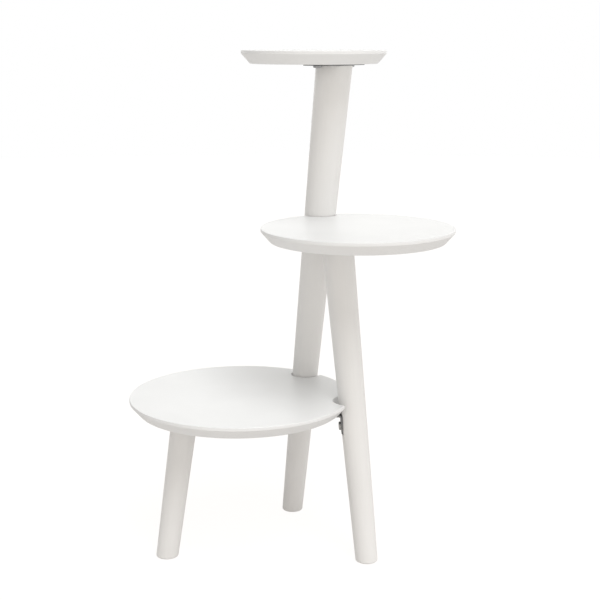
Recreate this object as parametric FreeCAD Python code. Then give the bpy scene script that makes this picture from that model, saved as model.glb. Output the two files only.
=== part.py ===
import FreeCAD, Part
import math
import os

# Three-tier plant stand: three round trays on three leaning, tapered legs.
# Each tray sits on a steel plate on top of its own leg. Where a longer leg
# passes a lower tray it stands in a notch in the rim, held by an angle bracket.
# Millimetres, +Z up, floor at zero, origin under the middle of the outline.

# Heights of the trays' top faces above the floor
top_tray_height = 700.0
middle_tray_height = 469.0
bottom_tray_height = 225.0

# Trays
top_tray_diameter = 200.0
middle_tray_diameter = 260.0
bottom_tray_diameter = 310.0
tray_thickness = 18.0
lip_height = 4.4
bevel_inset = 12.0
tray_edge_round = 1.0

# Legs, turned from one taper: the radius grows by this share of the length above the foot
leg_foot_diameter = 30.8
leg_taper_share = 0.01444
leg_lean = 8.66
foot_round = 2.5
leg_top_round = 0.8

# Where each leg stands, with angles in degrees from +X towards +Y: the tall leg by its
# notch in the bottom tray's rim, the middle leg's top by its reach from the tall leg
# under the middle tray, the short leg's top by its reach from the bottom tray's centre
tall_leg_angle = 50.1
tall_leg_inset = 12.2
tall_leg_lean_angle = -55.3
middle_leg_angle = -74.4
middle_leg_reach = 88.1
middle_leg_lean_angle = 128.7
short_leg_angle = 199.5
short_leg_reach = 80.2
short_leg_lean_angle = 26.1

# Where the upper trays stand: the middle tray by the tall leg's notch in its rim,
# the top tray by its offset from the tall leg's top
middle_tray_notch_angle = 112.0
middle_tray_notch_inset = 0.5
top_tray_offset = 28.2
top_tray_offset_angle = 180.8

# Room round a leg in its notch
tall_leg_clearance = 1.5
middle_leg_clearance = 7.6

# Plates on top of the legs
plate_length = 92.0
plate_width = 44.0
plate_thickness = 2.5
plate_corner_round = 7.0
plate_bolt_margin = 8.0
plate_screw_spacing = 18.0
tall_plate_angle = 52.0
middle_plate_angle = 22.0
short_plate_angle = 134.4

# Angle brackets, each pointing at its tray's centre but for the middle leg's turn
bracket_width = 22.0
bracket_thickness = 2.5
bracket_tray_length = 36.0
bracket_leg_length = 28.0
bracket_opening = 5.0
bracket_bend_radius = 2.0
bracket_corner_round = 7.0
bracket_bolt_margin = 10.4
bracket_seat_depth = 2.4
bracket_seat_margin = 1.0
middle_leg_bracket_turn_angle = 12.0

# Bolts with domed heads, and the threaded inserts that they go into
bolt_diameter = 6.0
bolt_length = 14.0
bolt_head_diameter = 12.0
bolt_head_height = 3.2
bolt_head_rim = 1.8
bolt_socket_sides = 6
bolt_socket_width = 4.0
bolt_socket_depth = 1.9
bolt_hole_clearance = 0.3
insert_diameter = 10.0
insert_length = 12.0
insert_chamfer = 0.8
thread_clearance = 0.1

# Countersunk wood screws
screw_diameter = 5.0
screw_length = 40.0
screw_head_diameter = 9.5
screw_point_length = 6.0
screw_tip_diameter = 0.8
screw_recess_width = 4.4
screw_recess_slot = 1.1
screw_recess_depth = 2.0

# How far a cut runs past the face that it opens
overrun = 2.0

Vector = FreeCAD.Vector
ORIGIN = Vector(0, 0, 0)
UP = Vector(0, 0, 1)


def heading(angle):
    """Level unit vector, by its angle in degrees from +X towards +Y."""
    turn = math.radians(angle)
    return Vector(math.cos(turn), math.sin(turn), 0)


def placed(shape, origin, x_axis, z_axis):
    """Moves a shape from the world's axes to a frame at origin."""
    turn = FreeCAD.Rotation(x_axis, z_axis.cross(x_axis), z_axis, "ZXY")
    return shape.transformed(FreeCAD.Placement(origin, turn).toMatrix())


def turned(outline):
    """Solid turned about Z from (radius, height) points."""
    points = [Vector(radius, 0, height) for radius, height in outline]
    points.append(points[0])
    return Part.Face(Part.makePolygon(points)).revolve(ORIGIN, UP, 360)


def drill(diameter, depth, start=0.0):
    """Round cutter along Z, from start below zero up to depth."""
    return Part.makeCylinder(diameter / 2, depth + start, Vector(0, 0, -start))


def edges_at(shape, points, reach):
    """The edges whose middle lies within reach of one of the points."""
    return [
        edge
        for edge in shape.Edges
        if any(edge.CenterOfMass.distanceToPoint(point) < reach for point in points)
    ]


class Leg:
    """A straight round leg: its leaning centre line, its taper and its room in a notch."""

    def __init__(self, through, lean_angle, top_height, clearance=0.0):
        lean = math.radians(leg_lean)
        self.axis = heading(lean_angle) * math.sin(lean) + UP * math.cos(lean)
        self.foot = through - self.axis * (through.z / self.axis.z)
        self.top_height = top_height
        self.clearance = clearance

    def centre(self, height):
        return self.foot + self.axis * (height / self.axis.z)

    def radius(self, height):
        return leg_foot_diameter / 2 + leg_taper_share * height / self.axis.z

    def solid(self):
        """Cut level at the floor and at the plate, with the cut edges eased."""
        low = -self.radius(self.top_height)
        high = self.top_height - low
        run = (high - low) / self.axis.z
        blank = Part.makeCone(self.radius(low), self.radius(high), run, self.centre(low), self.axis)
        box = blank.BoundBox
        corner = Vector(box.XMin, box.YMin, 0)
        slab = Part.makeBox(box.XLength, box.YLength, self.top_height, corner)
        leg = blank.common(slab)
        foot_edge = [edge for edge in leg.Edges if edge.BoundBox.ZMax < foot_round]
        leg = leg.makeFillet(foot_round, foot_edge)
        top_start = self.top_height - leg_top_round
        top_edge = [edge for edge in leg.Edges if edge.BoundBox.ZMin > top_start]
        return leg.makeFillet(leg_top_round, top_edge)


class Tray:
    """A round tray: its centre at the height of its top face, and the legs that pass it."""

    def __init__(self, centre, diameter, passing=()):
        self.centre = centre
        self.radius = diameter / 2
        self.underside = centre.z - tray_thickness
        self.passing = passing

    def solid(self):
        """Turned board with a notch for each passing leg, and all its edges eased."""
        board = turned(
            [
                (0, -tray_thickness),
                (self.radius - bevel_inset, -tray_thickness),
                (self.radius, -lip_height),
                (self.radius, 0),
                (0, 0),
            ]
        )
        # The turned faces' seam is put where the first notch takes it away.
        seam = self.outward(self.passing[0]) if self.passing else heading(0)
        board = placed(board, self.centre, seam, UP)
        for leg in self.passing:
            board = board.cut(self.notch(leg))
        corners = [edge for edge in board.Edges if len(board.ancestorsOfType(edge, Part.Face)) > 1]
        return board.makeFillet(tray_edge_round, corners)

    def outward(self, leg):
        """Level direction from the tray's centre to a leg."""
        out = leg.centre(self.centre.z) - self.centre
        out.z = 0
        return out.normalize()

    def notch(self, leg):
        """Cutter for the slot in the rim that a passing leg stands in."""
        radius = leg.radius(self.centre.z) + leg.clearance
        low = self.underside - radius
        run = (self.centre.z + radius - low) / leg.axis.z
        out = self.outward(leg)
        out = (out - leg.axis * out.dot(leg.axis)).normalize()
        bore = Part.makeCylinder(radius, run)
        mouth = Part.makeBox(self.radius, radius * 2, run, Vector(0, -radius, 0))
        return placed(bore.fuse(mouth), leg.centre(low), out, leg.axis)


def bolt():
    """Bolt that drives along +Z, with the underside of its head at zero."""
    head = bolt_head_diameter / 2
    rise = bolt_head_height - bolt_head_rim
    dome_radius = (head * head + rise * rise) / (rise * 2)
    dome = Part.makeSphere(dome_radius, UP * (dome_radius - bolt_head_height))
    disc = Part.makeCylinder(head, bolt_head_height, UP * -bolt_head_height)
    body = disc.common(dome).fuse(drill(bolt_diameter, bolt_length))
    step = math.tau / bolt_socket_sides
    across_corners = bolt_socket_width / math.cos(step / 2)
    points = [corner * step for corner in range(bolt_socket_sides + 1)]
    points = [Vector(math.cos(turn), math.sin(turn), 0) * (across_corners / 2) for turn in points]
    socket = Part.Face(Part.makePolygon(points)).extrude(UP * (bolt_socket_depth + overrun))
    socket.translate(UP * (-bolt_head_height - overrun))
    return body.cut(socket).removeSplitter()


def insert():
    """Threaded insert that stands on zero and reaches up +Z."""
    outer = insert_diameter / 2
    inner = bolt_diameter / 2 + thread_clearance
    return turned(
        [
            (inner, 0),
            (outer, 0),
            (outer, insert_length - insert_chamfer),
            (outer - insert_chamfer, insert_length),
            (inner, insert_length),
        ]
    )


def screw():
    """Countersunk screw that drives along -Z, with the top of its head at zero."""
    shank = screw_diameter / 2
    head = screw_head_diameter / 2
    body = turned(
        [
            (0, 0),
            (head, 0),
            (shank, shank - head),
            (shank, screw_point_length - screw_length),
            (screw_tip_diameter / 2, -screw_length),
            (0, -screw_length),
        ]
    )
    corner = Vector(-screw_recess_width / 2, -screw_recess_slot / 2, -screw_recess_depth)
    slot = Part.makeBox(screw_recess_width, screw_recess_slot, screw_recess_depth + overrun, corner)
    return body.cut(slot).cut(placed(slot, ORIGIN, heading(90), UP))


def screw_hole():
    """Cutter for a countersunk screw's own room, with its head flush at zero."""
    shank = screw_diameter / 2 + thread_clearance
    head = screw_head_diameter / 2
    return turned([(0, 0), (head, 0), (shank, shank - head), (shank, -screw_length), (0, -screw_length)])


class PlateJoint:
    """A tray fixed on top of its own leg by a steel plate."""

    def __init__(self, leg, angle):
        self.along = heading(angle)
        self.low = leg.centre(leg.top_height)
        self.high = self.low + UP * plate_thickness
        self.bolts = self.pair(plate_length - plate_bolt_margin * 2)
        self.screws = self.pair(plate_screw_spacing)

    def pair(self, spacing):
        return [self.along * (side * spacing / 2) for side in (-1, 1)]

    def plate(self):
        corner = Vector(-plate_length / 2, -plate_width / 2, 0)
        blank = Part.makeBox(plate_length, plate_width, plate_thickness, corner)
        upright = [edge for edge in blank.Edges if edge.BoundBox.ZLength > plate_thickness / 2]
        blank = blank.makeFillet(plate_corner_round, upright)
        blank = placed(blank, self.low, self.along, UP)
        hole = drill(bolt_diameter + bolt_hole_clearance * 2, plate_thickness + overrun, overrun)
        for offset in self.bolts:
            blank = blank.cut(hole.translated(self.low + offset))
        for offset in self.screws:
            blank = blank.cut(screw_hole().translated(self.high + offset))
        return blank

    def bolt_group(self):
        return [bolt().translated(self.low + offset) for offset in self.bolts]

    def insert_group(self):
        return [insert().translated(self.high + offset) for offset in self.bolts]

    def screw_group(self):
        return [screw().translated(self.high + offset) for offset in self.screws]

    def tray_cuts(self):
        depth = max(insert_length, bolt_length - plate_thickness) + thread_clearance
        hole = drill(insert_diameter + thread_clearance * 2, depth, overrun)
        return [hole.translated(self.high + offset) for offset in self.bolts]

    def leg_cuts(self):
        return [screw_hole().translated(self.high + offset) for offset in self.screws]


class BracketJoint:
    """A leg that passes a tray, held to the tray's underside by an angle bracket."""

    def __init__(self, leg, tray, turn):
        height = tray.underside
        axis_point = leg.centre(height)
        to_centre = tray.centre - axis_point
        self.inward = heading(math.degrees(math.atan2(to_centre.y, to_centre.x)) + turn)
        self.corner = axis_point + self.inward * (leg.radius(height) - bracket_seat_depth)
        opening = math.radians(bracket_opening)
        self.down = self.inward * -math.sin(opening) - UP * math.cos(opening)
        self.face = self.inward * math.cos(opening) - UP * math.sin(opening)
        self.tray_seat = self.corner + self.inward * (bracket_tray_length - bracket_bolt_margin)
        self.leg_seat = self.corner + self.down * (bracket_leg_length - bracket_bolt_margin)
        self.chord = leg.radius(height)

    def bracket(self):
        lean = math.radians(bracket_opening)
        inner = bracket_thickness * (1 - math.sin(lean)) / math.cos(lean)
        tray_end = self.corner + self.inward * bracket_tray_length
        leg_end = self.corner + self.down * bracket_leg_length
        inner_corner = self.corner + self.inward * inner - UP * bracket_thickness
        outline = [
            tray_end,
            self.corner,
            leg_end,
            leg_end + self.face * bracket_thickness,
            inner_corner,
            tray_end - UP * bracket_thickness,
            tray_end,
        ]
        across = UP.cross(self.inward) * bracket_width
        start = across * -0.5
        strip = Part.Face(Part.makePolygon([point + start for point in outline])).extrude(across)
        near = bracket_thickness / 4
        strip = strip.makeFillet(bracket_bend_radius, edges_at(strip, [inner_corner], near))
        outer_radius = bracket_bend_radius + bracket_thickness
        strip = strip.makeFillet(outer_radius, edges_at(strip, [self.corner], near))
        ends = [tray_end - UP * (bracket_thickness / 2), leg_end + self.face * (bracket_thickness / 2)]
        tips = [end + across * side for end in ends for side in (-0.5, 0.5)]
        strip = strip.makeFillet(bracket_corner_round, edges_at(strip, tips, near))
        hole = drill(bolt_diameter + bolt_hole_clearance * 2, bracket_thickness + overrun, overrun)
        strip = strip.cut(placed(hole, self.tray_seat, self.inward, UP * -1))
        return strip.cut(placed(hole, self.leg_seat, self.down, self.face))

    def bolt_group(self):
        tray_face = self.tray_seat - UP * bracket_thickness
        leg_face = self.leg_seat + self.face * bracket_thickness
        return [
            placed(bolt(), tray_face, self.inward, UP),
            placed(bolt(), leg_face, self.down, self.face * -1),
        ]

    def insert_group(self):
        return [
            placed(insert(), self.tray_seat, self.inward, UP),
            placed(insert(), self.leg_seat, self.down, self.face * -1),
        ]

    def insert_hole(self):
        depth = max(insert_length, bolt_length - bracket_thickness) + thread_clearance
        return drill(insert_diameter + thread_clearance * 2, depth, overrun)

    def tray_cuts(self):
        return [placed(self.insert_hole(), self.tray_seat, self.inward, UP)]

    def leg_cuts(self):
        """The flat seat milled on the round leg, and the insert's hole in it."""
        length = bracket_leg_length + bracket_seat_margin + overrun
        seat = Part.makeBox(length, self.chord * 2, self.chord, Vector(-overrun, -self.chord, 0))
        hole = placed(self.insert_hole(), self.leg_seat, self.down, self.face * -1)
        return [placed(seat, self.corner, self.down, self.face), hole]


def leg_top(tray_height):
    return tray_height - tray_thickness - plate_thickness


def layout():
    """Trays and legs, placed from the bottom tray outwards."""
    bottom_radius = bottom_tray_diameter / 2
    bottom = Vector(0, 0, bottom_tray_height)
    tall_point = bottom + heading(tall_leg_angle) * (bottom_radius - tall_leg_inset)
    tall = Leg(tall_point, tall_leg_lean_angle, leg_top(top_tray_height), tall_leg_clearance)
    middle_top = leg_top(middle_tray_height)
    middle_point = tall.centre(middle_top) + heading(middle_leg_angle) * middle_leg_reach
    middle_leg = Leg(middle_point, middle_leg_lean_angle, middle_top, middle_leg_clearance)
    short_top = leg_top(bottom_tray_height)
    short_point = heading(short_leg_angle) * short_leg_reach + UP * short_top
    short = Leg(short_point, short_leg_lean_angle, short_top)
    middle_reach = middle_tray_diameter / 2 - middle_tray_notch_inset
    middle_offset = heading(middle_tray_notch_angle) * -middle_reach
    top_seat = tall.centre(top_tray_height - tray_thickness)
    top_offset = heading(top_tray_offset_angle) * top_tray_offset
    top = top_seat + top_offset + UP * tray_thickness
    middle = tall.centre(middle_tray_height) + middle_offset
    trays = {
        "top": Tray(top, top_tray_diameter),
        "middle": Tray(middle, middle_tray_diameter, [tall]),
        "bottom": Tray(bottom, bottom_tray_diameter, [tall, middle_leg]),
    }
    legs = {"tall": tall, "middle": middle_leg, "short": short}
    return trays, legs


def centre_on_origin(trays, legs):
    """Moves trays and legs so that the middle of their outline is over the origin."""
    rounds = [(tray.centre, tray.radius) for tray in trays.values()]
    rounds += [(leg.foot, leg.radius(0)) for leg in legs.values()]
    low_x = min(centre.x - radius for centre, radius in rounds)
    high_x = max(centre.x + radius for centre, radius in rounds)
    low_y = min(centre.y - radius for centre, radius in rounds)
    high_y = max(centre.y + radius for centre, radius in rounds)
    shift = Vector(-(low_x + high_x) / 2, -(low_y + high_y) / 2, 0)
    for tray in trays.values():
        tray.centre = tray.centre + shift
    for leg in legs.values():
        leg.foot = leg.foot + shift


def cut_all(solid, cutters):
    for cutter in cutters:
        solid = solid.cut(cutter)
    return solid


def build():
    """All the pieces by name; a group of like fasteners is a list."""
    trays, legs = layout()
    centre_on_origin(trays, legs)
    plates = {
        ("tall", "top"): PlateJoint(legs["tall"], tall_plate_angle),
        ("middle", "middle"): PlateJoint(legs["middle"], middle_plate_angle),
        ("short", "bottom"): PlateJoint(legs["short"], short_plate_angle),
    }
    brackets = {
        ("tall", "middle"): BracketJoint(legs["tall"], trays["middle"], 0),
        ("tall", "bottom"): BracketJoint(legs["tall"], trays["bottom"], 0),
        ("middle", "bottom"): BracketJoint(legs["middle"], trays["bottom"], middle_leg_bracket_turn_angle),
    }
    joints = {**plates, **brackets}

    pieces = {}
    for tray_name, tray in trays.items():
        solid = tray.solid()
        for (leg_name, held), joint in joints.items():
            if held == tray_name:
                solid = cut_all(solid, joint.tray_cuts())
        pieces[tray_name + "_tray"] = [solid]
    for leg_name, leg in legs.items():
        solid = leg.solid()
        for (owner, tray_name), joint in joints.items():
            if owner == leg_name:
                solid = cut_all(solid, joint.leg_cuts())
        pieces[leg_name + "_leg"] = [solid]
    for (leg_name, tray_name), joint in plates.items():
        name = leg_name + "_leg_plate"
        pieces[name] = [joint.plate()]
        pieces[name + "_bolts"] = joint.bolt_group()
        pieces[name + "_inserts"] = joint.insert_group()
        pieces[name + "_screws"] = joint.screw_group()
    for (leg_name, tray_name), joint in brackets.items():
        name = tray_name + "_tray_" + leg_name + "_leg_bracket"
        pieces[name] = [joint.bracket()]
        pieces[name + "_bolts"] = joint.bolt_group()
        pieces[name + "_inserts"] = joint.insert_group()
    return pieces


os.makedirs("parts", exist_ok=True)
for piece_name, solids in build().items():
    shape = solids[0] if len(solids) == 1 else Part.makeCompound(solids)
    shape.exportStep("parts/" + piece_name + ".step")
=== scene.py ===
import math

import bmesh
import bpy
import numpy as np
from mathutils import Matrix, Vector


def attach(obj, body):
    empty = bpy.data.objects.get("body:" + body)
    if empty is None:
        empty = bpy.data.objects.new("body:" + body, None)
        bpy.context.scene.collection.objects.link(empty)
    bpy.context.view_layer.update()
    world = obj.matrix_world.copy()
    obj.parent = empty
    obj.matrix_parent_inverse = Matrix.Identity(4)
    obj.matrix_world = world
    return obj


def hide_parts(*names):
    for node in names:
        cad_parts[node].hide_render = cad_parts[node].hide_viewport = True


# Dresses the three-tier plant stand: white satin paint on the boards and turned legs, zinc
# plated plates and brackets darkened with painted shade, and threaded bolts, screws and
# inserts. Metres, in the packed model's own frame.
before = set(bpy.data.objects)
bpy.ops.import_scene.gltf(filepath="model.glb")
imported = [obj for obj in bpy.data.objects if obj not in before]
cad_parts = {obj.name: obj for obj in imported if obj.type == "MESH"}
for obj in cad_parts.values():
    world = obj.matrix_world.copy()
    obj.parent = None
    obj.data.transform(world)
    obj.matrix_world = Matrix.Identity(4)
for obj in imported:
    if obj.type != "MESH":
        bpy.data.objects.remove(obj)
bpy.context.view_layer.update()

# Camera: level sideways, looking along +Y and a little down
CAMERA_PLACE = (0.0159, -1.6742, 0.7181)
CAMERA_DOWN = math.radians(11.989)
CAMERA_LENS = 74.447

# Pale floor, which the camera sees as plain white; the light that it throws is brightest far out
# on the right, dimmer ahead of the stand, and dimmest far out on the left
FLOOR_RADIUS = 6.0
FLOOR_SIDES = 96
FLOOR_COLOUR = (0.60, 0.59, 0.58, 1.0)
FLOOR_SEEN_COLOUR = (0.12, 0.12, 0.12, 1.0)
FLOOR_SEEN_GLOW = (0.93, 0.918, 0.905, 1.0)
FLOOR_GLOW = (0.125, 0.115, 0.11, 1.0)
FLOOR_LEFT_GLOW = (0.02, 0.02, 0.02, 1.0)
FLOOR_RIGHT_GLOW = (0.50, 0.495, 0.49, 1.0)
FLOOR_SIDE_FADE = (2.0, 3.5)
FLOOR_LEFT_TO_RIGHT = (-1.0, 1.0)
FLOOR_FRONT_GLOW = (0.28, 0.26, 0.235, 1.0)
FLOOR_FRONT_FADE = (0.25, 0.7)

# Studio room, which the camera sees as plain white; its light comes from a dim wall on the left,
# brighter ones on the right and in front, the brightest one behind, and a dim ceiling
ROOM_SEEN = (1.0, 1.0, 1.0, 1.0)
LEFT_WALL = (0.50, 0.50, 0.50, 1.0)
RIGHT_WALL = (0.98, 0.962, 0.944, 1.0)
FRONT_WALL = (0.865, 0.82, 0.776, 1.0)
WALL_LEFT_TO_RIGHT = (-1.0, 1.0)
FRONT_RISE = (0.2, 0.9)
BACK_WALL = (1.585, 1.585, 1.56, 1.0)
BACK_RISE = (0.6, 0.9)
CEILING_COLOUR = (0.493, 0.484, 0.464, 1.0)
CEILING_RISE = (0.4, 0.8)

# Two soft lights from the front and a little to the right, as direction, spread and strength
SOFT_LIGHTS = {
    "high_key": ((0.42, -1.0, 2.7), math.radians(30.0), 0.80),
    "front_fill": ((0.42, -1.0, 1.25), math.radians(24.0), 0.73),
}

# White satin paint, from the darker to the lighter tone of its drift
# Boards and legs carry one paint, and its two tints are painted light: a little cool on the boards for
# their lit tops, a little warm on the legs as painted warm shade
BOARD_WHITE_LIT_TINT = ((0.798, 0.806, 0.809, 1.0), (0.826, 0.834, 0.837, 1.0))
LEG_WHITE_SHADE_TINT = ((0.800, 0.796, 0.785, 1.0), (0.828, 0.824, 0.813, 1.0))
PAINT_ROUGH = (0.40, 0.50)
CLOUD_SIZE = 0.08
PEEL_SIZE = 0.0016
PEEL_RISE = 0.0001
SPRAY_SIZE = 0.0003
GRAIN_SIZE = (0.0035, 0.0035, 0.12)
GRAIN_RISE = 0.0001
GRAIN_TONE = (0.6, 1.0)

# Plated metals, as the two tints that they drift between and the range of their roughness
# The sheet's tints, used on the plates and brackets, are darker than plated zinc: painted shade and
# painted dark reflection for metal that sits under the trays
SHEET_ZINC_PAINTED_SHADE = ((0.17, 0.178, 0.193, 1.0), (0.25, 0.25, 0.242, 1.0), (0.24, 0.36))
BOLT_ZINC = ((0.34, 0.35, 0.37, 1.0), (0.43, 0.43, 0.42, 1.0), (0.20, 0.30))
INSERT_BRASS = ((0.55, 0.41, 0.18, 1.0), (0.66, 0.51, 0.25, 1.0), (0.26, 0.42))
DRIFT_SIZE = 0.012
PIT_SIZE = 0.0004
PIT_RISE = 0.000002

# The middle of a noise pattern, which holds most of its values
NOISE_MIDDLE = (0.3, 0.7)

# Thread cut on the fasteners, as pitch and depth
BOLT_THREAD = (0.001, 0.00055)
INSERT_THREAD = (0.002, 0.0007)
SCREW_THREAD = (0.0022, 0.0009)

# Recesses in the heads: a flat land lies round the socket, and the cross narrows to a waist part
# of the way down and to a web between its wings
BOLT_SOCKET_WIDTH = 0.004
BOLT_SOCKET_DEPTH = 0.0019
SOCKET_LAND_SHARE = 1.3
SCREW_RECESS_WIDTH = 0.0046
SCREW_RECESS_DEPTH = 0.0022
RECESS_WAIST_SHARES = (0.5, 0.8)
CROSS_WEB_SHARE = 0.38
CROSS_SHARPNESS = 3.0

# How the turned fasteners are meshed
COLUMNS = 36
ROWS_PER_TURN = 4
DOME_ROWS = 6
SAME_ROW = 0.5
EDGE_EASE = 0.0003
HUB = 0.0000001
WELD = 0.000002
TINY = WELD ** 3
SMOOTH_UP_TO = math.radians(40.0)
SAME_FACET = math.cos(math.radians(0.8))
FACET_DIGITS = 3
OFFSET_DIGITS = 5
SPIN_SEED = 7


class Nodes:
    """A node tree, with its nodes added and joined in short calls."""

    def __init__(self, tree):
        self.tree = tree

    def put(self, value, socket):
        """Joins an output to an input, or sets a plain value on the input."""
        if isinstance(value, bpy.types.NodeSocket):
            self.tree.links.new(value, socket)
        else:
            socket.default_value = value

    def set(self, node, **values):
        """Each value goes to the input of that name, or else to the node's property."""
        for name, value in values.items():
            socket = node.inputs.get(name.replace("_", " ").title())
            if socket is None:
                setattr(node, name, value)
            else:
                self.put(value, socket)

    def add(self, kind, **values):
        node = self.tree.nodes.new(kind)
        self.set(node, **values)
        return node

    def maths(self, operation, *values):
        node = self.add("ShaderNodeMath", operation=operation)
        for value, socket in zip(values, node.inputs):
            self.put(value, socket)
        return node.outputs[0]

    def split(self, vector):
        return self.add("ShaderNodeSeparateXYZ", vector=vector).outputs

    def spread(self, noise, low, high):
        """Stretches the middle of a noise pattern from low to high."""
        node = self.add("ShaderNodeMapRange", value=noise)
        self.set(node, from_min=NOISE_MIDDLE[0], from_max=NOISE_MIDDLE[1], to_min=low, to_max=high)
        return node.outputs["Result"]

    def rise(self, value, low, high):
        """Smooth climb from 0 at low to 1 at high."""
        node = self.add("ShaderNodeMapRange", interpolation_type="SMOOTHSTEP", value=value)
        self.set(node, from_min=low, from_max=high)
        return node.outputs["Result"]

    def straight_to_camera(self):
        """1 for what the camera sees directly, 0 for light on its way to another surface."""
        return self.add("ShaderNodeLightPath").outputs["Is Camera Ray"]

    def blend(self, factor, low, high):
        """Colour between two others, at the places that a Mix node has for colours."""
        node = self.add("ShaderNodeMix", data_type="RGBA")
        for value, socket in zip((factor, low, high), (node.inputs[0], node.inputs[6], node.inputs[7])):
            self.put(value, socket)
        return node.outputs[2]


class Shader(Nodes):
    """A material on the Principled shader, laid out by the piece's own coordinates."""

    def __init__(self, name):
        self.material = bpy.data.materials.new(name)
        self.material.use_nodes = True
        super().__init__(self.material.node_tree)
        self.tree.nodes.clear()
        self.surface = self.add("ShaderNodeBsdfPrincipled")
        self.add("ShaderNodeOutputMaterial", surface=self.surface.outputs["BSDF"])
        self.place = self.add("ShaderNodeTexCoord").outputs["Object"]

    def noise(self, size, detail=2.0, place=None):
        """Cloudy pattern from 0 to 1, with features of about that size."""
        place = place or self.place
        node = self.add("ShaderNodeTexNoise", vector=place, scale=1.0 / size, detail=detail)
        return node.outputs["Fac"]

    def raised(self, height, rise, under=None):
        """Surface relief of that rise in metres, over any relief already there."""
        node = self.add("ShaderNodeBump", height=height, distance=rise)
        if under is not None:
            self.set(node, normal=under)
        return node.outputs["Normal"]


def satin_paint(shader, white, grain=None):
    """White sprayed paint: a faint cloud of tone, orange peel, and sheen that varies with dry spray."""
    tone = shader.spread(shader.noise(CLOUD_SIZE, detail=3.0), 0.0, 1.0)
    relief = shader.raised(shader.noise(PEEL_SIZE, detail=1.0), PEEL_RISE)
    if grain is not None:
        relief = shader.raised(grain, GRAIN_RISE, relief)
        tone = shader.maths("MULTIPLY", tone, shader.spread(grain, *GRAIN_TONE))
    shader.set(
        shader.surface,
        base_color=shader.blend(tone, *white),
        roughness=shader.spread(shader.noise(SPRAY_SIZE), *PAINT_ROUGH),
        normal=relief,
    )
    return shader.material


def painted_board():
    # The boards' copy of the paint, tinted a little cool as painted light on their lit tops
    return satin_paint(Shader("white_satin_board"), BOARD_WHITE_LIT_TINT)


def leg_line(node):
    """The middle of a leg's foot, and the direction up its centre line."""
    points = np.array([vertex.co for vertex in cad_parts[node].data.vertices])
    heights = points[:, 2]
    ends = []
    for level in (heights.min(), heights.max()):
        ring = points[abs(heights - level) < WELD]
        ends.append(Vector((ring.min(axis=0) + ring.max(axis=0)) / 2))
    return ends[0], (ends[1] - ends[0]).normalized()


def painted_leg(node):
    """The same paint, tinted warmer as painted shade, on turned wood whose grain runs up the leg and
    shows faintly through it.
    """
    shader = Shader("white_satin_" + node)
    foot, up = leg_line(node)
    turn = up.to_track_quat("Z", "Y").to_euler()
    along = shader.add("ShaderNodeMapping", vector_type="TEXTURE", vector=shader.place)
    shader.set(along, location=foot, rotation=turn, scale=GRAIN_SIZE)
    grain = shader.noise(1.0, detail=4.0, place=along.outputs["Vector"])
    return satin_paint(shader, LEG_WHITE_SHADE_TINT, grain)


def plated_metal(name, low, high, rough):
    """Plated metal: tone that drifts between two tints, with fine pits that break up its sheen."""
    shader = Shader(name)
    drift = shader.spread(shader.noise(DRIFT_SIZE, detail=4.0), 0.0, 1.0)
    pits = shader.noise(PIT_SIZE, detail=3.0)
    shader.set(
        shader.surface,
        metallic=1.0,
        base_color=shader.blend(drift, low, high),
        roughness=shader.spread(pits, *rough),
        normal=shader.raised(pits, PIT_RISE),
    )
    return shader.material


def even_shading(mesh):
    """Shades eased edges as smooth rounds: facets that turn gently at a point share one normal."""
    count = len(mesh.polygons)
    points = np.empty(len(mesh.vertices) * 3)
    mesh.vertices.foreach_get("co", points)
    points = points.reshape(-1, 3)
    corners = np.empty(count * 3, dtype=int)
    mesh.loops.foreach_get("vertex_index", corners)
    places = np.round(points / WELD).astype(int)
    groups = np.unique(places, axis=0, return_inverse=True)[1].ravel()[corners]
    sides = points[corners].reshape(-1, 3, 3)
    facets = np.cross(sides[:, 1] - sides[:, 0], sides[:, 2] - sides[:, 0])
    areas = np.linalg.norm(facets, axis=1)
    facets /= np.maximum(areas, TINY)[:, None]
    # A flat's weight is its whole area, so that the rounds beside it don't tilt it.
    offsets = np.einsum("ij,ij->i", facets, sides[:, 0])
    planes = np.column_stack([np.round(facets, FACET_DIGITS), np.round(offsets, OFFSET_DIGITS)])
    planes = np.unique(planes, axis=0, return_inverse=True)[1].ravel()
    weights = np.bincount(planes, weights=areas)[planes]
    normals = np.empty((count * 3, 3))
    order = np.argsort(groups, kind="stable")
    for members in np.split(order, np.flatnonzero(np.diff(groups[order])) + 1):
        meeting = facets[members // 3]
        near = meeting @ meeting.T
        shares = weights[members // 3] / (near > SAME_FACET).sum(axis=1)
        normals[members] = ((near > math.cos(SMOOTH_UP_TO)) * shares) @ meeting
    normals /= np.maximum(np.linalg.norm(normals, axis=1, keepdims=True), TINY)
    mesh.polygons.foreach_set("use_smooth", [True] * count)
    mesh.normals_split_custom_set(normals)


def cover(node, material):
    """Gives a CAD node one material and even shading."""
    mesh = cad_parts[node].data
    mesh.materials.clear()
    mesh.materials.append(material)
    even_shading(mesh)


class Term:
    """A number inside a node tree; arithmetic on terms adds the Math nodes for it."""

    def __init__(self, nodes, socket):
        self.nodes = nodes
        self.socket = socket

    def __add__(self, other):
        return self.nodes.maths("ADD", self, other)

    def __sub__(self, other):
        return self.nodes.maths("SUBTRACT", self, other)

    def __rsub__(self, other):
        return self.nodes.maths("SUBTRACT", other, self)

    def __mul__(self, other):
        return self.nodes.maths("MULTIPLY", self, other)

    def __truediv__(self, other):
        return self.nodes.maths("DIVIDE", self, other)

    def __rtruediv__(self, other):
        return self.nodes.maths("DIVIDE", other, self)


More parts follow.
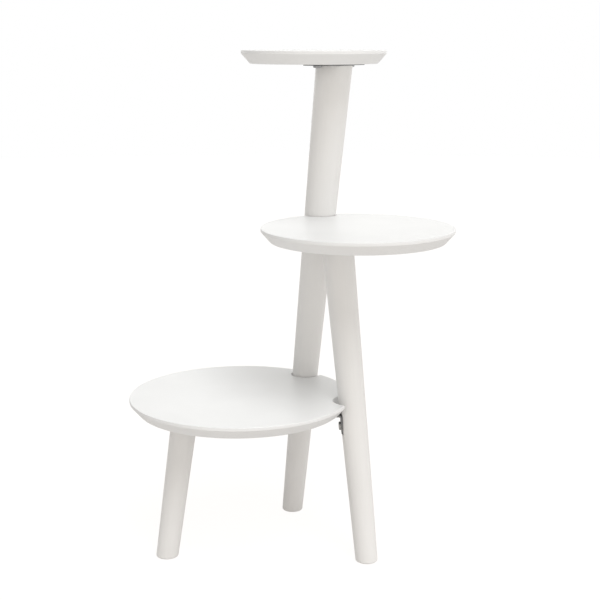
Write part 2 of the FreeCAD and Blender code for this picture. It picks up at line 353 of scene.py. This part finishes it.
class FastenerTree(Nodes):
    """Geometry Nodes that turn one fastener from named sizes and set a copy on each seat."""

    def __init__(self, name, sizes):
        super().__init__(bpy.data.node_groups.new(name, "GeometryNodeTree"))
        self.sizes = sizes
        interface = self.tree.interface
        interface.new_socket("Seats", in_out="INPUT", socket_type="NodeSocketGeometry")
        self.identifiers = {}
        for size in sizes:
            socket = interface.new_socket(size, in_out="INPUT", socket_type="NodeSocketFloat")
            self.identifiers[size] = socket.identifier
        interface.new_socket("Fasteners", in_out="OUTPUT", socket_type="NodeSocketGeometry")
        self.given = self.add("NodeGroupInput").outputs

    def terms(self):
        """The named sizes, in their order."""
        return [Term(self, self.given[size]) for size in self.sizes]

    def put(self, value, socket):
        """As in any node tree, and a term joins by its socket."""
        super().put(value.socket if isinstance(value, Term) else value, socket)

    def made(self, kind, **values):
        """The first output of a new node."""
        return self.add(kind, **values).outputs[0]

    def maths(self, operation, *values):
        return Term(self, super().maths(operation, *values))

    def vector(self, x, y, z):
        return self.made("ShaderNodeCombineXYZ", x=x, y=y, z=z)

    def turned(self, profile, threaded_row, rows, ring=False):
        """A solid or a ring turned about Z from (radius, height) terms, with more rows after one."""
        index = self.made("GeometryNodeInputIndex")
        switch = self.add("GeometryNodeIndexSwitch", data_type="VECTOR")
        while len(switch.index_switch_items) < len(profile):
            switch.index_switch_items.new()
        self.put(index, switch.inputs[0])
        for row, (radius, height) in enumerate(profile):
            self.put(self.vector(radius, 0.0 - height, 0.0), switch.inputs[row + 1])
        points = self.made("GeometryNodePoints", count=len(profile))
        curve = self.made("GeometryNodePointsToCurves", points=points)
        curve = self.made("GeometryNodeSetPosition", geometry=curve, position=switch.outputs[0])
        curve = self.made("GeometryNodeSetSplineCyclic", geometry=curve, cyclic=ring)
        here = self.maths("COMPARE", index, float(threaded_row), SAME_ROW)
        cuts = self.maths("ROUND", here * rows)
        curve = self.made("GeometryNodeSubdivideCurve", curve=curve, cuts=cuts)
        circle = self.made("GeometryNodeCurvePrimitiveCircle", resolution=COLUMNS, radius=HUB)
        mesh = self.made("GeometryNodeCurveToMesh", curve=circle, profile_curve=curve)
        mesh = self.made("GeometryNodeFlipFaces", mesh=mesh)
        return self.made("GeometryNodeMergeByDistance", geometry=mesh, distance=WELD)

    def polar(self):
        """Each point's distance from the axis, its angle round it, and its x, y and z."""
        parts = self.split(self.made("GeometryNodeInputPosition"))
        x, y, z = (Term(self, part) for part in parts)
        return self.maths("SQRT", x * x + y * y), self.maths("ARCTAN2", y, x), x, y, z

    def scaled(self, mesh, x, y, z, factor):
        """Moves each point towards the axis or away from it."""
        place = self.vector(x * factor, y * factor, z)
        return self.made("GeometryNodeSetPosition", geometry=mesh, position=place)

    def threaded(self, mesh, start, end, hub, pitch, depth):
        """Cuts a right-hand thread into the wall outside hub, from start to end."""
        radius, angle, x, y, z = self.polar()
        turn = self.maths("FRACT", z / pitch - angle / math.tau)
        crest = self.maths("ABSOLUTE", turn * 2.0 - 1.0)
        inside = self.maths("GREATER_THAN", z, start) * self.maths("LESS_THAN", z, end)
        inside = inside * self.maths("GREATER_THAN", radius, hub)
        return self.scaled(mesh, x, y, z, 1.0 - inside * depth * crest / radius)

    def recessed(self, mesh, reach, depth, plan):
        """Gives the recess in a head its plan: how far out it goes at each angle."""
        radius, angle, x, y, z = self.polar()
        inside = self.maths("LESS_THAN", radius, reach) * self.maths("LESS_THAN", z, depth)
        return self.scaled(mesh, x, y, z, inside * (plan(angle) - 1.0) + 1.0)

    def six_sided(self, angle):
        turn = self.maths("FLOORED_MODULO", angle, math.pi / 3) - math.pi / 6
        return 1.0 / self.maths("COSINE", turn)

    def cross(self, angle):
        wing = self.maths("ABSOLUTE", self.maths("COSINE", angle * 2.0))
        wing = self.maths("POWER", wing, CROSS_SHARPNESS)
        return wing * (1.0 - CROSS_WEB_SHARE) + CROSS_WEB_SHARE

    def finish(self, mesh, material):
        """Sets the fastener on every seat, along its axis and turned by chance, and ends the tree."""
        axis = self.made("GeometryNodeInputNamedAttribute", data_type="FLOAT_VECTOR", name="axis")
        aligned = self.made("FunctionNodeAlignRotationToVector", axis="Z", vector=axis)
        chance = self.add("FunctionNodeRandomValue", data_type="FLOAT", seed=SPIN_SEED)
        # The highest value of a random number
        self.put(math.tau, chance.inputs[3])
        spin = self.made("FunctionNodeEulerToRotation", euler=self.vector(0.0, 0.0, chance.outputs[1]))
        turned = self.add("FunctionNodeRotateRotation", rotation_space="LOCAL")
        self.set(turned, rotation=aligned, rotate_by=spin)
        smooth = self.made("GeometryNodeSetShadeSmooth", geometry=mesh, shade_smooth=True)
        bend = self.made("GeometryNodeInputMeshEdgeAngle")
        sharp = self.maths("GREATER_THAN", bend, SMOOTH_UP_TO)
        shaded = self.add("GeometryNodeSetShadeSmooth", domain="EDGE", geometry=smooth)
        self.set(shaded, selection=sharp, shade_smooth=False)
        copies = self.add("GeometryNodeInstanceOnPoints", points=self.given["Seats"])
        self.set(copies, instance=shaded.outputs[0], rotation=turned.outputs[0])
        real = self.made("GeometryNodeRealizeInstances", geometry=copies.outputs[0])
        dressed = self.made("GeometryNodeSetMaterial", geometry=real, material=material)
        self.put(dressed, self.add("NodeGroupOutput").inputs[0])


def bolt_tree(material):
    """Pan-head bolt with a six-sided socket: the head's top is at zero and it drives along +Z."""
    names = ["Head Diameter", "Head Height", "Dome Rise", "Shank Diameter", "Length"]
    names += ["Socket Width", "Socket Depth", "Thread Pitch", "Thread Depth", "Edge Ease"]
    tree = FastenerTree("pan_head_bolts", names)
    diameter, height, rise, thick, length, width, depth, pitch, cut, ease = tree.terms()
    head = diameter / 2.0
    shank = thick / 2.0
    flat = width / 2.0
    land = flat * SOCKET_LAND_SHARE
    profile = [(0.0, depth + ease), (flat, depth), (flat, ease), (flat + ease, 0.0), (land, 0.0)]
    for row in range(1, DOME_ROWS + 1):
        turn = math.pi / 2 * row / DOME_ROWS
        profile.append((land + (head - land) * math.sin(turn), rise * (1.0 - math.cos(turn))))
    profile += [(head, height - ease), (head - ease, height), (shank, height), (shank, height + pitch)]
    threaded_row = len(profile) - 1
    profile += [(shank, length - cut), (shank - cut, length), (0.0, length)]
    rows = (length - height) / pitch * ROWS_PER_TURN
    mesh = tree.turned(profile, threaded_row, rows)
    mesh = tree.threaded(mesh, height + pitch, length - cut, shank - cut, pitch, cut)
    mesh = tree.recessed(mesh, (flat + land) / 2.0, depth + ease, tree.six_sided)
    tree.finish(mesh, material)
    return tree


def screw_tree(material):
    """Countersunk wood screw with a cross recess: flat head at zero, driven along +Z to its point."""
    names = ["Head Diameter", "Neck", "Shank Diameter", "Point", "Tip Diameter", "Length"]
    names += ["Recess Width", "Recess Depth", "Thread Pitch", "Thread Depth", "Edge Ease"]
    tree = FastenerTree("countersunk_screws", names)
    diameter, neck, thick, point, end, length, width, depth, pitch, cut, ease = tree.terms()
    head = diameter / 2.0
    shank = thick / 2.0
    tip = end / 2.0
    wing = width / 2.0
    waist, waist_depth = RECESS_WAIST_SHARES
    profile = [(0.0, depth), (wing * waist, depth * waist_depth), (wing, ease), (wing + ease, 0.0)]
    profile += [(head - ease, 0.0), (head, ease), (shank, neck), (shank, neck + pitch)]
    threaded_row = len(profile) - 1
    profile += [(shank, point), (tip, length), (0.0, length)]
    rows = (point - neck) / pitch * ROWS_PER_TURN
    mesh = tree.turned(profile, threaded_row, rows)
    mesh = tree.threaded(mesh, neck + pitch, point, shank - cut, pitch, cut)
    mesh = tree.recessed(mesh, wing + ease / 2.0, depth, tree.cross)
    tree.finish(mesh, material)
    return tree


def insert_tree(material):
    """Brass insert for a bolt: a ring with a coarse wood thread outside and a chamfered far end."""
    names = ["Diameter", "Bore Diameter", "Length", "Chamfer", "Thread Pitch", "Thread Depth"]
    tree = FastenerTree("threaded_inserts", names)
    diameter, bored, length, chamfer, pitch, cut = tree.terms()
    outer = diameter / 2.0
    bore = bored / 2.0
    profile = [(bore, length), (bore, 0.0), (outer, 0.0), (outer, chamfer)]
    threaded_row = len(profile) - 1
    profile += [(outer, length - chamfer), (outer - chamfer, length)]
    rows = (length - chamfer * 2.0) / pitch * ROWS_PER_TURN
    mesh = tree.turned(profile, threaded_row, rows, ring=True)
    mesh = tree.threaded(mesh, chamfer, length - chamfer, outer - cut, pitch, cut)
    tree.finish(mesh, material)
    return tree


def solids_of(node):
    """The triangles of each separate solid in a CAD node, from a welded copy of its mesh."""
    work = bmesh.new()
    work.from_mesh(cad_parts[node].data)
    bmesh.ops.remove_doubles(work, verts=work.verts, dist=WELD)
    left = dict.fromkeys(work.faces)
    solids = []
    while left:
        queue = [left.popitem()[0]]
        triangles = []
        while queue:
            face = queue.pop()
            triangles.append([vertex.co[:] for vertex in face.verts])
            for other in [other for edge in face.edges for other in edge.link_faces]:
                if other in left:
                    del left[other]
                    queue.append(other)
        solids.append(np.array(triangles))
    work.free()
    return solids


class Seat:
    """Where a turned solid sits: the middle of its head end, its axis from there, and its profile."""

    def __init__(self, triangles):
        middle = triangles.mean(axis=(0, 1))
        corners = triangles - middle
        # Each triangle makes a tetrahedron with the middle, whose volume weighs its share of the centre
        volume = np.einsum("ij,ij->i", corners[:, 0], np.cross(corners[:, 1], corners[:, 2]))
        centre = np.einsum("i,ijk->k", volume, corners) / volume.sum() / 4
        corners = corners - centre
        volume = np.einsum("ij,ij->i", corners[:, 0], np.cross(corners[:, 1], corners[:, 2]))
        # The same tetrahedra, taken from the centre, give the solid's spread in each direction
        weights = np.ones((3, 3)) + np.eye(3)
        spread = np.einsum("i,ija,jk,ikb->ab", volume, corners, weights, corners)
        sizes, axes = np.linalg.eigh(spread)
        self.axis = axes[:, 2] if sizes[2] - sizes[1] > sizes[1] - sizes[0] else axes[:, 0]
        points = corners.reshape(-1, 3)
        along = points @ self.axis
        if along.max() + along.min() < 0:
            self.axis = -self.axis
            along = -along
        self.along = along - along.min()
        self.radii = np.linalg.norm(points - np.outer(points @ self.axis, self.axis), axis=1)
        self.place = middle + centre + self.axis * along.min()


def dress(node, fastener, sizes):
    """Sets fasteners on the seats of a CAD node, as one plain mesh that stands for it."""
    seats = [Seat(solid) for solid in solids_of(node)]
    mesh = bpy.data.meshes.new(node + "_seats")
    mesh.from_pydata([tuple(seat.place) for seat in seats], [], [])
    axes = mesh.attributes.new("axis", "FLOAT_VECTOR", "POINT")
    axes.data.foreach_set("vector", np.concatenate([seat.axis for seat in seats]))
    holder = bpy.data.objects.new(node + "_seats", mesh)
    bpy.context.scene.collection.objects.link(holder)
    modifier = holder.modifiers.new("fasteners", "NODES")
    modifier.node_group = fastener.tree
    for name, value in sizes(seats[0]).items():
        modifier[fastener.identifiers[name]] = float(value)
    graph = bpy.context.evaluated_depsgraph_get()
    made = bpy.data.meshes.new_from_object(holder.evaluated_get(graph), depsgraph=graph)
    bpy.data.objects.remove(holder)
    piece = bpy.data.objects.new(node + "_threaded", made)
    bpy.context.scene.collection.objects.link(piece)
    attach(piece, "root")
    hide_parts(node)


def bolt_sizes(seat):
    """A bolt's sizes, measured on its solid."""
    head = seat.radii.max()
    rim = seat.along[seat.radii > head - WELD]
    shank = seat.radii[seat.along > seat.along.max() - WELD].max()
    return {
        "Head Diameter": head * 2,
        "Head Height": rim.max(),
        "Dome Rise": rim.min(),
        "Shank Diameter": shank * 2,
        "Length": seat.along.max(),
        "Socket Width": BOLT_SOCKET_WIDTH,
        "Socket Depth": BOLT_SOCKET_DEPTH,
        "Thread Pitch": BOLT_THREAD[0],
        "Thread Depth": BOLT_THREAD[1],
        "Edge Ease": EDGE_EASE,
    }


def screw_sizes(seat):
    """A screw's sizes, measured on its solid."""
    length = seat.along.max()
    far = seat.along > length / 2
    return {
        "Head Diameter": seat.radii.max() * 2,
        "Neck": seat.along[~far].max(),
        "Shank Diameter": seat.radii[far].max() * 2,
        "Point": seat.along[far].min(),
        "Tip Diameter": seat.radii[seat.along > length - WELD].max() * 2,
        "Length": length,
        "Recess Width": SCREW_RECESS_WIDTH,
        "Recess Depth": SCREW_RECESS_DEPTH,
        "Thread Pitch": SCREW_THREAD[0],
        "Thread Depth": SCREW_THREAD[1],
        "Edge Ease": EDGE_EASE,
    }


def insert_sizes(seat):
    """An insert's sizes, measured on its solid."""
    outer = seat.radii.max()
    return {
        "Diameter": outer * 2,
        "Bore Diameter": seat.radii.min() * 2,
        "Length": seat.along.max(),
        "Chamfer": seat.along.max() - seat.along[seat.radii > outer - WELD].max(),
        "Thread Pitch": INSERT_THREAD[0],
        "Thread Depth": INSERT_THREAD[1],
    }


def floor():
    """A plain pale round floor: even white to the camera, and an uneven glow to the stand."""
    bpy.ops.mesh.primitive_circle_add(vertices=FLOOR_SIDES, radius=FLOOR_RADIUS, fill_type="NGON")
    obj = bpy.context.object
    obj.name = "floor"
    shader = Shader("pale_floor")
    across = shader.split(shader.place)
    aside = shader.rise(shader.maths("ABSOLUTE", across["X"]), *FLOOR_SIDE_FADE)
    rightward = shader.rise(across["X"], *FLOOR_LEFT_TO_RIGHT)
    sides = shader.blend(rightward, FLOOR_LEFT_GLOW, FLOOR_RIGHT_GLOW)
    ahead = shader.rise(shader.maths("MULTIPLY", across["Y"], -1.0), *FLOOR_FRONT_FADE)
    glow = shader.blend(ahead, FLOOR_GLOW, FLOOR_FRONT_GLOW)
    glow = shader.blend(aside, glow, sides)
    seen = shader.straight_to_camera()
    glow = shader.blend(seen, glow, FLOOR_SEEN_GLOW)
    colour = shader.blend(seen, FLOOR_COLOUR, FLOOR_SEEN_COLOUR)
    shader.set(shader.surface, base_color=colour, roughness=1.0)
    shader.set(shader.surface, emission_color=glow, emission_strength=1.0)
    shader.surface.inputs["Specular IOR Level"].default_value = 0.0
    obj.data.materials.append(shader.material)


def room():
    """Light from walls of four tints and a ceiling, and plain white to the camera."""
    world = bpy.data.worlds.new("studio_room")
    world.use_nodes = True
    bpy.context.scene.world = world
    nodes = Nodes(world.node_tree)
    toward = nodes.split(nodes.add("ShaderNodeTexCoord").outputs["Generated"])
    rightward = nodes.rise(toward["X"], *WALL_LEFT_TO_RIGHT)
    colour = nodes.blend(rightward, LEFT_WALL, RIGHT_WALL)
    ahead = nodes.rise(nodes.maths("MULTIPLY", toward["Y"], -1.0), *FRONT_RISE)
    colour = nodes.blend(ahead, colour, FRONT_WALL)
    colour = nodes.blend(nodes.rise(toward["Y"], *BACK_RISE), colour, BACK_WALL)
    colour = nodes.blend(nodes.rise(toward["Z"], *CEILING_RISE), colour, CEILING_COLOUR)
    colour = nodes.blend(nodes.straight_to_camera(), colour, ROOM_SEEN)
    nodes.set(world.node_tree.nodes["Background"], color=colour)


def soft_lights():
    """The broad lights that the trays' shadows come from."""
    for name, (source, spread, strength) in SOFT_LIGHTS.items():
        data = bpy.data.lights.new(name, "SUN")
        data.energy = strength
        data.angle = spread
        light = bpy.data.objects.new(name, data)
        light.rotation_euler = (-Vector(source)).to_track_quat("-Z", "Y").to_euler()
        bpy.context.scene.collection.objects.link(light)


def camera():
    """The photograph's own view."""
    data = bpy.data.cameras.new("camera")
    data.lens = CAMERA_LENS
    obj = bpy.data.objects.new("camera", data)
    obj.location = CAMERA_PLACE
    obj.rotation_euler = (math.pi / 2 - CAMERA_DOWN, 0.0, 0.0)
    bpy.context.scene.collection.objects.link(obj)
    bpy.context.scene.camera = obj


# The boards' paint carries its cool tint as painted light
board_white_lit_tint = painted_board()
# Plated sheet whose dark tint is painted shade and painted dark reflection
sheet_zinc_painted_shade = plated_metal("zinc_plated_sheet", *SHEET_ZINC_PAINTED_SHADE)
bolt_zinc = plated_metal("zinc_plated_bolt", *BOLT_ZINC)
brass = plated_metal("insert_brass", *INSERT_BRASS)
bolts = bolt_tree(bolt_zinc)
screws = screw_tree(bolt_zinc)
inserts = insert_tree(brass)

for node_name in list(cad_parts):
    if node_name.endswith("_tray"):
        cover(node_name, board_white_lit_tint)
    elif node_name.endswith("_leg"):
        cover(node_name, painted_leg(node_name))
    elif node_name.endswith("_inserts"):
        dress(node_name, inserts, insert_sizes)
    elif node_name.endswith("_bolts"):
        dress(node_name, bolts, bolt_sizes)
    elif node_name.endswith("_screws"):
        dress(node_name, screws, screw_sizes)
    else:
        # Plates and brackets get the sheet zinc, darkened with painted shade
        cover(node_name, sheet_zinc_painted_shade)

floor()
room()
soft_lights()
camera()
bpy.context.scene.view_settings.view_transform = "Standard"
